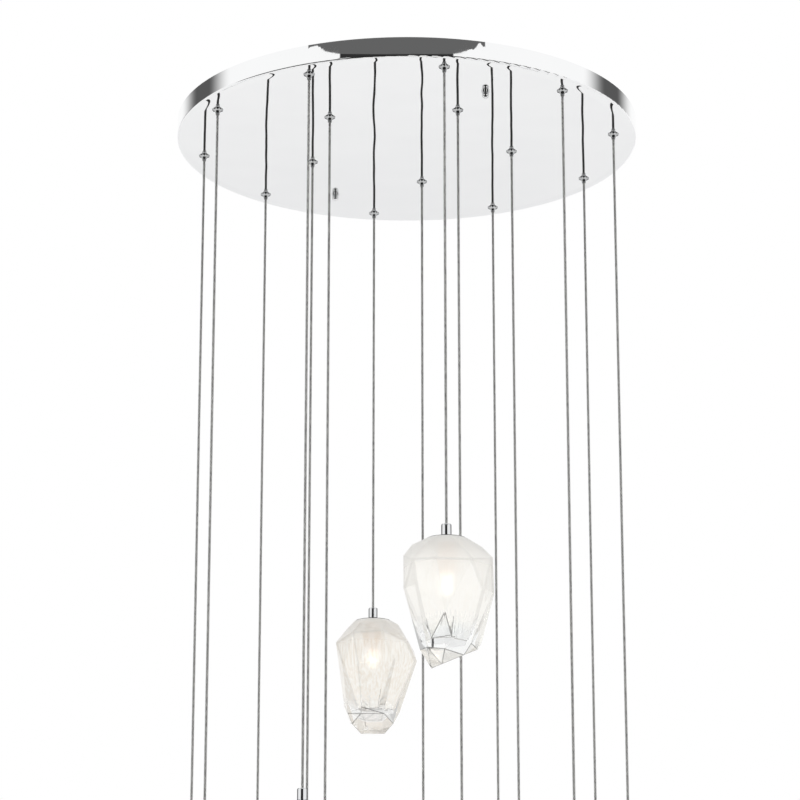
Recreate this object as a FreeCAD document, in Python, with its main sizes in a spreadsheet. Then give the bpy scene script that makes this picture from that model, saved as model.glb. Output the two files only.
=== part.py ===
import FreeCAD, Part
import Sketcher

import itertools
import math
import os
import re

# A cluster pendant: fifteen faceted glass lamps hang on thin cables from one round mirror canopy.
# Millimetres. The origin is on the ceiling, at the middle of the mounting bar, and +Z is up.
# Ten cables leave the canopy on an outer ring and five on an inner ring.

SIZES = {
    # canopy pan
    "canopy_radius": 300,
    "canopy_height": 25,
    "canopy_wall": 1.2,
    "canopy_edge": 2.5,
    "gland_hole_clearance": 0.2,
    "stud_hole_clearance": 0.3,
    # where the cables and the studs stand: the outer ring is measured in from the pan's edge
    "outer_ring_inset": 29.4,
    "outer_first": 63.6,
    "inner_ring": 140,
    "inner_first": 81.4,
    "stud_ring": 211.5,
    "stud_angle": 297.5,
    # mounting bar on the ceiling
    "bar_past_stud": 18.5,
    "bar_width": 36,
    "bar_thickness": 2,
    "bar_flange": 6,
    "screw_circle": 60,
    "screw_hole": 2.75,
    "wire_hole": 11,
    # studs, their nuts and the cap nuts
    "stud_radius": 2.5,
    "stud_nut_width": 8,
    "stud_nut_height": 4,
    "cap_flange_radius": 4.7,
    "cap_flange_height": 1.9,
    "cap_waist_radius": 3.2,
    "cap_height": 9.2,
    "cap_ball_radius": 4.2,
    "cap_bore_depth": 6.4,
    "thread_clearance": 0.06,
    "cap_gap": 0.1,
    "stud_end_gap": 0.7,
    # cable and its gland
    "cable_radius": 1.6,
    "gland_flare": 6.75,
    "gland_lip": 0.9,
    "gland_neck": 2.45,
    "gland_length": 7,
    "gland_neck_length": 2,
    "gland_waist": 0.95,
    "gland_waist_depth": 2.3,
    "gland_thread": 4,
    "gland_bore_clearance": 0.08,
    "locknut_width": 13,
    "locknut_height": 3,
    "locknut_spare": 0.5,
    "grip_radius": 3.4,
    "grip_height": 3.6,
    "swing_gap": 0.4,
    # inner leads and their terminal block
    "block_radius": 42,
    "block_height": 9,
    "block_entry_drop": 2.7,
    "block_entry_depth": 5,
    "block_screw_offset": 26,
    "block_screw_radius": 1.5,
    "block_screw_head": 3,
    "block_screw_head_height": 2,
    "earth_offset": 72,
    "earth_screw_radius": 2,
    "earth_head": 4,
    "earth_head_height": 2.6,
    "earth_washer_radius": 5,
    "earth_washer_thickness": 1,
    # lamp head: cap, cover disc, threaded tube, gallery ring, holder and lamp
    "head_radius": 6,
    "head_height": 14.5,
    "head_edge": 1.4,
    "head_recess_depth": 7,
    "cable_insert": 5,
    "running_clearance": 0.08,
    "disc_inset": 1.5,
    "disc_rise": 3,
    "disc_crown_radius": 11.2,
    "disc_crown_drop": 1,
    "disc_thickness": 0.8,
    "tube_radius": 4,
    "tube_bore": 2.6,
    "gallery_height": 9,
    "gallery_wall": 2,
    "gallery_clearance": 0.2,
    "holder_radius": 12.5,
    "holder_height": 36,
    "holder_gap": 3,
    "tube_grip": 6,
    "holder_socket_depth": 6,
    "lamp_clearance": 0.6,
    "lamp_radius": 7.4,
    "lamp_length": 34,
    # glass
    "glass_mouth": 20,
    "glass_neck": 3,
    "glass_lip": 5,
    "glass_wall": 6.5,
    "glass_shoulder_wall": 2,
    "glass_radius": 59,
    "glass_height": 150,
    "base_slant": 24,
    "base_half_length": 22.5,
    "base_offset": 9.5,
    "base_half_width": 27.5,
    "base_edge_half_width": 15.5,
    "glass_floor": 31,
    "cavity_floor_radius": 21,
    "cavity_taper_height": 22,
    "cavity_taper_radius": 30,
}

# Each lamp's drop from the canopy's underside to the top of its head, and the turn of its glass.
# The outer ring starts at outer_first and the inner ring at inner_first, and both run anticlockwise.
OUTER_LAMPS = [
    {"drop": 876, "turn": 35},
    {"drop": 563, "turn": 90},
    {"drop": 1100, "turn": 310},
    {"drop": 1020, "turn": 140},
    {"drop": 945, "turn": 255},
    {"drop": 876, "turn": 20},
    {"drop": 572, "turn": 202},
    {"drop": 1100, "turn": 165},
    {"drop": 1020, "turn": 60},
    {"drop": 945, "turn": 285},
]
INNER_LAMPS = [
    {"drop": 985, "turn": 120},
    {"drop": 1060, "turn": 240},
    {"drop": 915, "turn": 5},
    {"drop": 1140, "turn": 75},
    {"drop": 1180, "turn": 330},
]

# The corners ground on the glass, level by level: azimuth, share of its radius, share of its height.
SHOULDER_CORNERS = [
    (338, 0.678, 0.04), (28, 0.593, 0.053), (88, 0.61, 0.073), (155, 0.695, 0.06),
    (208, 0.627, 0.04), (262, 0.576, 0.033), (302, 0.627, 0.04),
]
UPPER_CORNERS = [
    (338, 0.847, 0.127), (14, 0.847, 0.193), (52, 0.864, 0.207), (104, 0.864, 0.207),
    (150, 0.915, 0.153), (195, 0.898, 0.14), (240, 0.915, 0.207), (286, 0.966, 0.247),
]
BELLY_CORNERS = [
    (340, 0.847, 0.387), (18, 0.814, 0.4), (64, 0.729, 0.627), (128, 0.864, 0.427),
    (158, 0.932, 0.427), (214, 0.915, 0.407), (266, 1, 0.367), (308, 0.864, 0.413),
]
FOOT_CORNERS = [
    (338, 0.525, 0.867), (22, 0.542, 0.873), (63, 0.576, 0.9), (90, 0.644, 0.773), (116, 0.627, 0.847),
    (158, 0.678, 0.813), (205, 0.695, 0.793), (262, 0.61, 0.827), (300, 0.559, 0.86),
]
MOUTH_SIDES = 12
CAVITY_SIDES = 6
CAVITY_TURN = 20
NUT_SIDES = 6
HULL_TOLERANCE = 1e-6
EDGE_TOLERANCE = 0.01
CUT_PAST = 1
FULL_TURN = 360
HALF_TURN = 180

doc = FreeCAD.newDocument("cluster_pendant")
sheet = doc.addObject("Spreadsheet::Sheet", "Sizes")


def fill_sheet():
    """Every driving size is one cell with a name."""
    rows = dict(SIZES)
    for ring, lamps in (("outer", OUTER_LAMPS), ("inner", INNER_LAMPS)):
        for place, lamp in enumerate(lamps, 1):
            rows[f"{ring}_drop_{place}"] = lamp["drop"]
            rows[f"{ring}_turn_{place}"] = lamp["turn"]
    for row, (alias, number) in enumerate(rows.items(), 1):
        sheet.set(f"A{row}", alias)
        sheet.set(f"B{row}", str(number))
        sheet.setAlias(f"B{row}", alias)
    doc.recompute()


fill_sheet()


def cell(text):
    """The text with each size's name pointed at the sheet."""
    return re.sub(r"[a-z]+(?:_[a-z0-9]+)+", lambda found: "Sizes." + found.group(0), text)


def size(text):
    """The value of a size, or of a sum of sizes."""
    return float(sheet.evalExpression(cell(text)))


def bind(thing, **texts):
    """Ties each named property of a thing to the sheet."""
    for prop, text in texts.items():
        thing.setExpression(prop.replace("__", "."), cell(text))
    return thing


def new_body(name):
    return doc.addObject("PartDesign::Body", name)


def new_sketch(body, role, name):
    """A sketch on one of the body's own origin planes."""
    sketch = body.newObject("Sketcher::SketchObject", name)
    plane = next(each for each in body.Origin.OriginFeatures if each.Role == role)
    sketch.AttachmentSupport = (plane, [""])
    sketch.MapMode = "FlatFace"
    return sketch


def hold(sketch, kind, geometry, point, text):
    """Fixes one coordinate of a sketch point, measured from the origin, by the sheet."""
    row = sketch.addConstraint(Sketcher.Constraint(kind, -1, 1, geometry, point, size(text)))
    sketch.setExpression(f"Constraints[{row}]", cell(text))


def spot(across, up):
    """A point of a sketch from two sizes."""
    return FreeCAD.Vector(size(across), size(up), 0)


def end_at(sketch, edge, point):
    """Which end of a sketch's edge, 1 or 2, lies at a point."""
    return min((1, 2), key=lambda end: sketch.getPoint(edge, end).distanceToPoint(point))


def hold_end(sketch, edge, across, up):
    """Fixes the end of an edge that lies at a corner."""
    end = end_at(sketch, edge, spot(across, up))
    hold(sketch, "DistanceX", edge, end, across)
    hold(sketch, "DistanceY", edge, end, up)


def draw_edge(sketch, start, end, bend):
    """A straight edge, or an arc that bends through one more held point."""
    if not bend:
        return sketch.addGeometry(Part.LineSegment(start, end), False)
    edge = sketch.addGeometry(Part.ArcOfCircle(start, spot(*bend), end), False)
    middle = sketch.addGeometry(Part.Point(spot(*bend)), True)
    hold(sketch, "DistanceX", middle, 1, bend[0])
    hold(sketch, "DistanceY", middle, 1, bend[1])
    sketch.addConstraint(Sketcher.Constraint("PointOnObject", middle, 1, edge))
    return edge


def draw_outline(sketch, corners, closed=True):
    """Edges from corner to corner. A corner is two sizes, and two more where its edge bends."""
    spots = [spot(*corner[:2]) for corner in corners]
    ends = spots[1:] + spots[:1]
    edges = []
    for start, end, corner in zip(spots, ends if closed else ends[:-1], corners):
        edge = draw_edge(sketch, start, end, corner[2:])
        hold_end(sketch, edge, *corner[:2])
        edges.append(edge)
    if not closed:
        hold_end(sketch, edges[-1], *corners[-1])
    followers = edges[1:] + edges[:1] if closed else edges[1:]
    for edge, follower, point in zip(edges, followers, ends):
        meeting = (edge, end_at(sketch, edge, point), follower, end_at(sketch, follower, point))
        sketch.addConstraint(Sketcher.Constraint("Coincident", *meeting))


def draw_circle(sketch, across, up, radius):
    """A circle whose middle and radius are sizes."""
    middle = FreeCAD.Vector(size(across), size(up), 0)
    circle = sketch.addGeometry(Part.Circle(middle, FreeCAD.Vector(0, 0, 1), size(radius)), False)
    row = sketch.addConstraint(Sketcher.Constraint("Radius", circle, size(radius)))
    sketch.setExpression(f"Constraints[{row}]", cell(radius))
    hold(sketch, "DistanceX", circle, 3, across)
    hold(sketch, "DistanceY", circle, 3, up)


def turned(name, corners):
    """A body turned about Z from an outline whose corners are given as radius and height."""
    body = new_body(name)
    sketch = new_sketch(body, "XZ_Plane", name + "_profile")
    draw_outline(sketch, corners)
    turn = body.newObject("PartDesign::Revolution", name + "_turn")
    turn.Profile = sketch
    turn.ReferenceAxis = (sketch, ["V_Axis"])
    turn.Angle = FULL_TURN
    return body


def pad(body, sketch, name, length, **sizes):
    """The sketch made solid, upwards from its plane."""
    block = body.newObject("PartDesign::Pad", name)
    block.Profile = sketch
    return bind(block, Length=length, **sizes)


def must_cut(name, before, after):
    """Stops the build if a cut left the whole volume standing."""
    print(name, "cuts away", round(before - after), "mm3")
    if after >= before:
        raise RuntimeError(f"{name} cuts nothing")


def drill(body, name, holes, depth, start="0"):
    """Cuts round holes, each (across, up, radius), upwards from a height."""
    doc.recompute()
    before = body.Shape.Volume
    sketch = new_sketch(body, "XY_Plane", name + "_circles")
    bind(sketch, AttachmentOffset__Base__z=start)
    for across, up, radius in holes:
        draw_circle(sketch, across, up, radius)
    cut = body.newObject("PartDesign::Pocket", name)
    cut.Profile = sketch
    cut.Reversed = True
    bind(cut, Length=depth)
    doc.recompute()
    must_cut(name, before, cut.Shape.Volume)


def round_edges(body, feature, name, radius, wanted):
    """Rounds the feature's edges that a test of the edge picks out."""
    doc.recompute()
    names = [f"Edge{n}" for n, edge in enumerate(feature.Shape.Edges, 1) if wanted(edge)]
    smooth = body.newObject("PartDesign::Fillet", name)
    smooth.Base = (feature, names)
    return bind(smooth, Radius=radius)


def is_circle_at(edge, radius, height):
    """Whether an edge is a whole circle about Z of this radius at this height."""
    curve = edge.Curve
    if not isinstance(curve, Part.Circle):
        return False
    middle = FreeCAD.Vector(0, 0, height)
    return abs(curve.Radius - radius) + curve.Center.distanceToPoint(middle) < EDGE_TOLERANCE


def hexagon_nut(name, width, height, bore):
    """A plain nut that stands on the XY plane."""
    body = new_body(name)
    sketch = new_sketch(body, "XY_Plane", name + "_flats")
    step = FULL_TURN / NUT_SIDES
    corner = f"{width} / 2 / cos({step / 2} deg)"
    angles = [f"{step * side} deg" for side in range(NUT_SIDES)]
    draw_outline(sketch, [(f"{corner} * cos({angle})", f"{corner} * sin({angle})") for angle in angles])
    draw_circle(sketch, "0", "0", bore)
    pad(body, sketch, name + "_block", height)
    return body


def copy_at(source, name, across, up, height, turn="0"):
    """One more copy of a piece, placed and turned by the sheet."""
    link = doc.addObject("App::Link", name)
    link.LinkedObject = source
    bind(link, Placement__Base__x=across, Placement__Base__y=up, Placement__Base__z=height)
    link.setExpression("Placement.Rotation.Angle", cell(f"({turn}) * 1 deg"))
    return link


def group(name, members):
    """A node of several separate solids."""
    node = doc.addObject("Part::Compound", name)
    node.Links = members
    return node


# What every lamp needs: its angle, its X and Y, its drop and the turn of its glass.
RING_RADIUS = {"outer": "canopy_radius - outer_ring_inset", "inner": "inner_ring"}
HANGING = []
for ring, lamps in (("outer", OUTER_LAMPS), ("inner", INNER_LAMPS)):
    for place in range(len(lamps)):
        angle = f"{ring}_first + {FULL_TURN / len(lamps)} * {place}"
        HANGING.append(
            {
                "ring": ring,
                "name": f"{len(HANGING) + 1:02d}",
                "angle": angle,
                "across": f"({RING_RADIUS[ring]}) * cos(({angle}) * 1 deg)",
                "up": f"({RING_RADIUS[ring]}) * sin(({angle}) * 1 deg)",
                "drop": f"{ring}_drop_{place + 1}",
                "turn": f"{ring}_turn_{place + 1}",
            }
        )
STUDS = [
    (f"stud_ring * cos((stud_angle + {half}) * 1 deg)", f"stud_ring * sin((stud_angle + {half}) * 1 deg)")
    for half in (0, HALF_TURN)
]


def make_canopy():
    """The mirror pan: a flat underside, a rounded edge and a rim up to the ceiling."""
    body = turned(
        "canopy_pan",
        [
            ("0", "-canopy_height"),
            ("canopy_radius", "-canopy_height"),
            ("canopy_radius", "0"),
            ("canopy_radius - canopy_wall", "0"),
            ("canopy_radius - canopy_wall", "canopy_wall - canopy_height"),
            ("0", "canopy_wall - canopy_height"),
        ],
    )
    outside = round_edges(
        body,
        body.Tip,
        "canopy_outer_round",
        "canopy_edge",
        lambda edge: is_circle_at(edge, size("canopy_radius"), -size("canopy_height")),
    )
    round_edges(
        body,
        outside,
        "canopy_inner_round",
        "canopy_edge - canopy_wall",
        lambda edge: is_circle_at(
            edge, size("canopy_radius - canopy_wall"), size("canopy_wall - canopy_height")
        ),
    )
    holes = [(lamp["across"], lamp["up"], "gland_thread + gland_hole_clearance") for lamp in HANGING]
    holes += [(across, up, "stud_radius + stud_hole_clearance") for across, up in STUDS]
    drill(body, "canopy_holes", holes, f"canopy_wall + 2 * {CUT_PAST}", f"-canopy_height - {CUT_PAST}")
    return body


def make_bar():
    """The mounting bar: a channel of folded steel, its back against the ceiling."""
    body = new_body("mounting_bar")
    sketch = new_sketch(body, "YZ_Plane", "bar_section")
    half = "bar_width / 2"
    draw_outline(
        sketch,
        [
            (f"-{half}", "0"),
            (half, "0"),
            (half, "-bar_flange"),
            (f"{half} - bar_thickness", "-bar_flange"),
            (f"{half} - bar_thickness", "-bar_thickness"),
            (f"bar_thickness - {half}", "-bar_thickness"),
            (f"bar_thickness - {half}", "-bar_flange"),
            (f"-{half}", "-bar_flange"),
        ],
    )
    block = pad(body, sketch, "bar_block", "2 * (stud_ring + bar_past_stud)")
    block.Midplane = True
    holes = [("0", "0", "wire_hole")]
    for side in ("", "-"):
        holes.append((f"{side}screw_circle", "0", "screw_hole"))
        holes.append((f"{side}stud_ring", "0", "stud_radius"))
        holes.append((f"{side}block_screw_offset", "0", "block_screw_radius"))
    holes.append(("earth_offset", "0", "earth_screw_radius"))
    drill(body, "bar_holes", holes, f"bar_thickness + 2 * {CUT_PAST}", f"-bar_thickness - {CUT_PAST}")
    body.setExpression("Placement.Rotation.Angle", cell("stud_angle * 1 deg"))
    return body


def make_studs():
    """Two threaded studs in the bar, each held by a plain nut under it."""
    reach = "cap_gap + cap_bore_depth - stud_end_gap"
    stud = doc.addObject("Part::Cylinder", "stud")
    bind(stud, Radius="stud_radius", Height=f"canopy_height + {reach}")
    nut = hexagon_nut("stud_nut", "stud_nut_width", "stud_nut_height", "stud_radius")
    studs = []
    nuts = []
    for number, (across, up) in enumerate(STUDS, 1):
        studs.append(copy_at(stud, f"stud_{number}", across, up, f"-canopy_height - ({reach})"))
        nuts.append(copy_at(nut, f"stud_nut_{number}", across, up, "-bar_thickness - stud_nut_height"))
    return [group("bar_studs", studs), group("stud_nuts", nuts)]


def cap_nut_outline():
    """The domed cap nut from its flange, at height 0, down to the end of its ball."""
    bore = "stud_radius + thread_clearance"
    middle = "cap_ball_radius - cap_height"
    join = f"{middle} + sqrt(cap_ball_radius ^ 2 - cap_waist_radius ^ 2)"
    return [
        (bore, "0"),
        ("cap_flange_radius", "0"),
        ("cap_flange_radius", "-cap_flange_height"),
        ("cap_waist_radius", "-cap_flange_height"),
        ("cap_waist_radius", join, "cap_ball_radius", middle),
        ("0", "-cap_height"),
        ("0", "-cap_bore_depth"),
        (bore, "-cap_bore_depth"),
    ]


def make_cap_nuts():
    """The two cap nuts that hold the pan up, each a node of its own because each one turns."""
    nut = turned("cap_nut", cap_nut_outline())
    nodes = []
    for number, (across, up) in enumerate(STUDS, 1):
        placed = copy_at(nut, f"cap_nut_copy_{number}", across, up, "-canopy_height - cap_gap")
        nodes.append(group(f"cap_nut_{number}", [placed]))
    return nodes


# Heights inside the canopy: where the grips sit on their glands, and where the leads run.
GRIP_SEAT = "canopy_wall + locknut_height + locknut_spare - canopy_height"
LEAD_LEVEL = "-bar_flange - block_entry_drop"


def gland_outline():
    """The trumpet-shaped gland: threaded above the pan, flared under it, and drawn in to a neck."""
    bore = "cable_radius + gland_bore_clearance"
    top = "canopy_wall + locknut_height + locknut_spare"
    return [
        (bore, top),
        ("gland_thread", top),
        ("gland_thread", "0"),
        ("gland_flare", "0"),
        ("gland_flare", "-gland_lip", "gland_neck + gland_waist", "-gland_lip - gland_waist_depth"),
        ("gland_neck", "gland_neck_length - gland_length"),
        ("gland_neck", "-gland_length"),
        (bore, "-gland_length"),
    ]


def make_glands():
    """The glands, their locknuts and the grips that carry each cable's pull."""
    gland = turned("gland", gland_outline())
    locknut = hexagon_nut("locknut", "locknut_width", "locknut_height", "gland_thread")
    grip = turned(
        "grip",
        [
            ("cable_radius", "0"),
            ("grip_radius", "0"),
            ("grip_radius", "grip_height"),
            ("cable_radius", "grip_height"),
        ],
    )
    parts = {"cable_glands": [], "gland_locknuts": [], "cable_grips": []}
    for lamp in HANGING:
        for node, source, height in (
            ("cable_glands", gland, "-canopy_height"),
            ("gland_locknuts", locknut, "canopy_wall - canopy_height"),
            ("cable_grips", grip, GRIP_SEAT),
        ):
            name = f"{source.Name}_{lamp['name']}"
            copy = copy_at(source, name, lamp["across"], lamp["up"], height, lamp["angle"])
            parts[node].append(copy)
    return [group(name, members) for name, members in parts.items()]


def make_lead(ring):
    """One lead: up through gland and grip, round one bend, and straight to the terminal block."""
    body = new_body(f"{ring}_lead")
    out = RING_RADIUS[ring]
    low = "-canopy_height - gland_length"
    bend_start = f"{GRIP_SEAT} + grip_height"
    bend = f"({LEAD_LEVEL} - ({bend_start}))"
    slack = f"{bend} * (1 - cos({HALF_TURN / 4} deg))"
    path = new_sketch(body, "XZ_Plane", f"{ring}_lead_path")
    corners = [
        (out, low),
        (out, bend_start, f"{out} - {slack}", f"{LEAD_LEVEL} - {slack}"),
        (f"{out} - {bend}", LEAD_LEVEL),
        ("block_radius - block_entry_depth", LEAD_LEVEL),
    ]
    draw_outline(path, corners, closed=False)
    section = new_sketch(body, "XY_Plane", f"{ring}_lead_section")
    bind(section, AttachmentOffset__Base__z=low)
    draw_circle(section, out, "0", "cable_radius")
    doc.recompute()
    sweep = body.newObject("PartDesign::AdditivePipe", f"{ring}_lead_sweep")
    sweep.Profile = section
    sweep.Spine = (path, [f"Edge{n}" for n in range(1, len(corners))])
    doc.recompute()
    expected = math.pi * size("cable_radius") ** 2 * path.Shape.Length
    print(ring, "lead volume over section times length:", round(body.Shape.Volume / expected, 4))
    return body


def make_leads():
    """All fifteen leads, each from its gland to the terminal block."""
    sources = {ring: make_lead(ring) for ring in RING_RADIUS}
    leads = []
    for lamp in HANGING:
        name = f"lead_{lamp['name']}"
        leads.append(copy_at(sources[lamp["ring"]], name, "0", "0", "0", lamp["angle"]))
    return group("inner_leads", leads)


def make_terminal_block(leads):
    """A round block of terminals under the bar, whose side the leads enter, and its two screws."""
    body = turned(
        "terminal_body",
        [
            ("wire_hole", "-bar_flange - block_height"),
            ("block_radius", "-bar_flange - block_height"),
            ("block_radius", "-bar_flange"),
            ("wire_hole", "-bar_flange"),
        ],
    )
    places = [
        (f"block_screw_offset * cos({angle})", f"block_screw_offset * sin({angle})")
        for angle in ("stud_angle * 1 deg", f"(stud_angle + {HALF_TURN}) * 1 deg")
    ]
    holes = [(across, up, "block_screw_radius") for across, up in places]
    drill(body, "block_screw_holes", holes, "block_height", "-bar_flange - block_height")
    block = doc.addObject("Part::Cut", "terminal_block")
    block.Base = body
    block.Tool = leads
    doc.recompute()
    must_cut("lead entries", body.Shape.Volume, block.Shape.Volume)
    under = "-bar_flange - block_height"
    reach = "bar_flange + block_height"
    screw = screw_shape("block_screw", "block_screw_radius", reach, "block_screw_head")
    screws = [
        copy_at(screw, f"block_screw_{number}", across, up, under)
        for number, (across, up) in enumerate(places, 1)
    ]
    return [block, group("block_screws", screws)]


def screw_shape(name, shank, length, head):
    """A round-headed screw that stands on its shank, with the head's seat on the XY plane."""
    return turned(
        name + "_solid",
        [
            ("0", f"-{head}_height"),
            (head, f"-{head}_height"),
            (head, "0"),
            (shank, "0"),
            (shank, length),
            ("0", length),
        ],
    )


def make_earth_screw():
    """The earthing screw in the bar, with its washer."""
    across = "earth_offset * cos(stud_angle * 1 deg)"
    up = "earth_offset * sin(stud_angle * 1 deg)"
    seat = "-bar_thickness - earth_washer_thickness"
    reach = "bar_thickness + earth_washer_thickness"
    screw = screw_shape("earth_screw", "earth_screw_radius", reach, "earth_head")
    washer = turned(
        "earth_washer",
        [
            ("earth_screw_radius", "0"),
            ("earth_washer_radius", "0"),
            ("earth_washer_radius", "earth_washer_thickness"),
            ("earth_screw_radius", "earth_washer_thickness"),
        ],
    )
    placed = [copy_at(screw, "earth_screw_copy", across, up, seat)]
    placed.append(copy_at(washer, "earth_washer_copy", across, up, seat))
    return group("earth_screw", placed)


# Heights inside a lamp head, from the top of its cap.
DISC_SEAT = "-head_height"
GLASS_SEAT = "-head_height - disc_rise - disc_thickness"
HOLDER_TOP = "-head_height - disc_rise - disc_thickness - holder_gap"
HOLDER_END = HOLDER_TOP + " - holder_height"


def make_head_cap():
    """The small chrome cap on the cable's end, hollow below for the threaded tube."""
    recess = "head_recess_depth - head_height"
    bore = "cable_radius + running_clearance"
    body = turned(
        "head_cap",
        [
            (bore, "0"),
            ("head_radius", "0"),
            ("head_radius", "-head_height"),
            ("tube_radius", "-head_height"),
            ("tube_radius", recess),
            (bore, recess),
        ],
    )
    radius = size("head_radius")
    round_edges(body, body.Tip, "head_cap_round", "head_edge", lambda edge: is_circle_at(edge, radius, 0))
    return body


def gallery_sizes():
    """The gallery ring's outside and inside, which fit the flats of the glass's mouth."""
    outside = f"glass_mouth * cos({HALF_TURN / MOUTH_SIDES} deg) - gallery_clearance"
    return outside, outside + " - gallery_wall"


def disc_outline():
    """The cover disc: a low dome from the threaded tube out to a flat brim on the glass."""
    outer, brim = "glass_mouth + glass_lip - disc_inset", gallery_sizes()[1]
    crown, seat = f"{DISC_SEAT} - disc_crown_drop", f"{DISC_SEAT} - disc_rise"
    return [
        ("tube_radius", DISC_SEAT, "disc_crown_radius", crown),
        (brim, seat),
        (outer, seat),
        (outer, f"{seat} - disc_thickness"),
        (brim, f"{seat} - disc_thickness", "disc_crown_radius", f"{crown} - disc_thickness"),
        ("tube_radius", f"{DISC_SEAT} - disc_thickness"),
    ]


def lamp_outline():
    """The capsule lamp: a straight base in the socket and a round end."""
    top = f"{HOLDER_END} + holder_socket_depth"
    low = f"{top} - lamp_length"
    lean = "lamp_radius * sqrt(0.5)"
    return [
        ("0", top),
        ("lamp_radius", top),
        ("lamp_radius", f"{low} + lamp_radius", lean, f"{low} + lamp_radius - {lean}"),
        ("0", low),
    ]


def make_lamp_head():
    """The pieces that hang on one cable's end, apart from the glass."""
    outside, inside = gallery_sizes()
    tube = turned(
        "threaded_tube",
        [
            ("tube_bore", "head_recess_depth - head_height"),
            ("tube_radius", "head_recess_depth - head_height"),
            ("tube_radius", HOLDER_TOP + " - tube_grip"),
            ("tube_bore", HOLDER_TOP + " - tube_grip"),
        ],
    )
    gallery = turned(
        "gallery_ring",
        [
            (inside, GLASS_SEAT),
            (outside, GLASS_SEAT),
            (outside, GLASS_SEAT + " - gallery_height"),
            (inside, GLASS_SEAT + " - gallery_height"),
        ],
    )
    holder = turned(
        "lamp_holder",
        [
            ("tube_radius", HOLDER_TOP),
            ("holder_radius", HOLDER_TOP),
            ("holder_radius", HOLDER_END),
            ("lamp_radius + lamp_clearance", HOLDER_END),
            ("lamp_radius + lamp_clearance", HOLDER_END + " + holder_socket_depth"),
            ("0", HOLDER_END + " + holder_socket_depth"),
            ("0", HOLDER_TOP + " - tube_grip"),
            ("tube_radius", HOLDER_TOP + " - tube_grip"),
        ],
    )
    disc = turned("cover_disc", disc_outline())
    lamp = turned("lamp_capsule", lamp_outline())
    return [make_head_cap(), disc, tube, gallery, holder, lamp]


def corner_at(azimuth, radius, depth):
    angle = math.radians(azimuth)
    return FreeCAD.Vector(radius * math.cos(angle), radius * math.sin(angle), -depth)


def flat_ring(sides, turn, radius, depth):
    """The corners of a level polygon."""
    return [corner_at(turn + FULL_TURN / sides * n, radius, depth) for n in range(sides)]


def hull(corners):
    """The solid whose flat facets wrap a set of corners."""
    facets = {}
    for chosen in itertools.combinations(range(len(corners)), 3):
        first, second, third = (corners[n] for n in chosen)
        normal = (second - first).cross(third - first)
        if normal.Length < HULL_TOLERANCE:
            continue
        normal.normalize()
        heights = [normal.dot(corner - first) for corner in corners]
        if max(heights) > HULL_TOLERANCE and min(heights) < -HULL_TOLERANCE:
            continue
        if max(heights) > HULL_TOLERANCE:
            normal = normal * -1
        on_facet = frozenset(n for n, up in enumerate(heights) if abs(up) <= HULL_TOLERANCE)
        facets[on_facet] = normal
    return Part.Solid(Part.Shell([facet_face([corners[n] for n in on], facets[on]) for on in facets]))


def facet_face(corners, normal):
    """The flat face through corners, taken in order round their middle."""
    middle = sum(corners, FreeCAD.Vector()) * (1 / len(corners))
    across = (corners[0] - middle).normalize()
    up = normal.cross(across)

    def turn_to(corner):
        reach = corner - middle
        return math.atan2(up.dot(reach), across.dot(reach))

    in_order = sorted(corners, key=turn_to)
    return Part.Face(Part.makePolygon(in_order + in_order[:1]))


def base_corners():
    """The six corners of the slanted foot: a long hexagon, lowest along its +X edge."""
    half, offset = size("base_half_length"), size("base_offset")
    wide, narrow = size("base_half_width"), size("base_edge_half_width")
    slope = math.tan(math.radians(size("base_slant")))
    low = half - offset
    plan = [(low, narrow), (low, -narrow), (-offset, wide), (-offset, -wide)]
    plan += [(low - 2 * half, narrow), (low - 2 * half, -narrow)]
    return [FreeCAD.Vector(x, y, slope * (low - x) - size("glass_height")) for x, y in plan]


def level_corners(level, sink=0, inset=0):
    """One level's corners, lowered by sink and drawn in by inset."""
    radius, height = size("glass_radius"), size("glass_height")
    return [corner_at(turn, radius * out - inset, height * down + sink) for turn, out, down in level]


def glass_shape():
    """The shade: a thick faceted cup with a solid slanted foot and a round mouth at the top."""
    wall, mouth, neck = size("glass_wall"), size("glass_mouth"), size("glass_neck")
    mouth_turn = HALF_TURN / MOUTH_SIDES
    outer = flat_ring(MOUTH_SIDES, mouth_turn, mouth + size("glass_lip"), 0)
    for level in (SHOULDER_CORNERS, UPPER_CORNERS, BELLY_CORNERS, FOOT_CORNERS):
        outer += level_corners(level)
    inner = flat_ring(MOUTH_SIDES, mouth_turn, mouth, neck)
    inner += level_corners(SHOULDER_CORNERS, wall, wall)
    inner += level_corners(UPPER_CORNERS, size("glass_shoulder_wall"), wall)
    inner += level_corners(BELLY_CORNERS, 0, wall)
    floor = size("glass_height - glass_floor")
    taper = floor - size("cavity_taper_height")
    inner += flat_ring(CAVITY_SIDES, CAVITY_TURN, size("cavity_taper_radius"), taper)
    inner += flat_ring(CAVITY_SIDES, CAVITY_TURN, size("cavity_floor_radius"), floor)
    throat = flat_ring(MOUTH_SIDES, mouth_turn, mouth, neck)
    throat = Part.Face(Part.makePolygon(throat + throat[:1]))
    throat = throat.extrude(FreeCAD.Vector(0, 0, neck + CUT_PAST))
    whole = hull(outer + base_corners())
    glass = whole.cut([hull(inner), throat])
    must_cut("glass hollow", whole.Volume, glass.Volume)
    return glass


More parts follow.
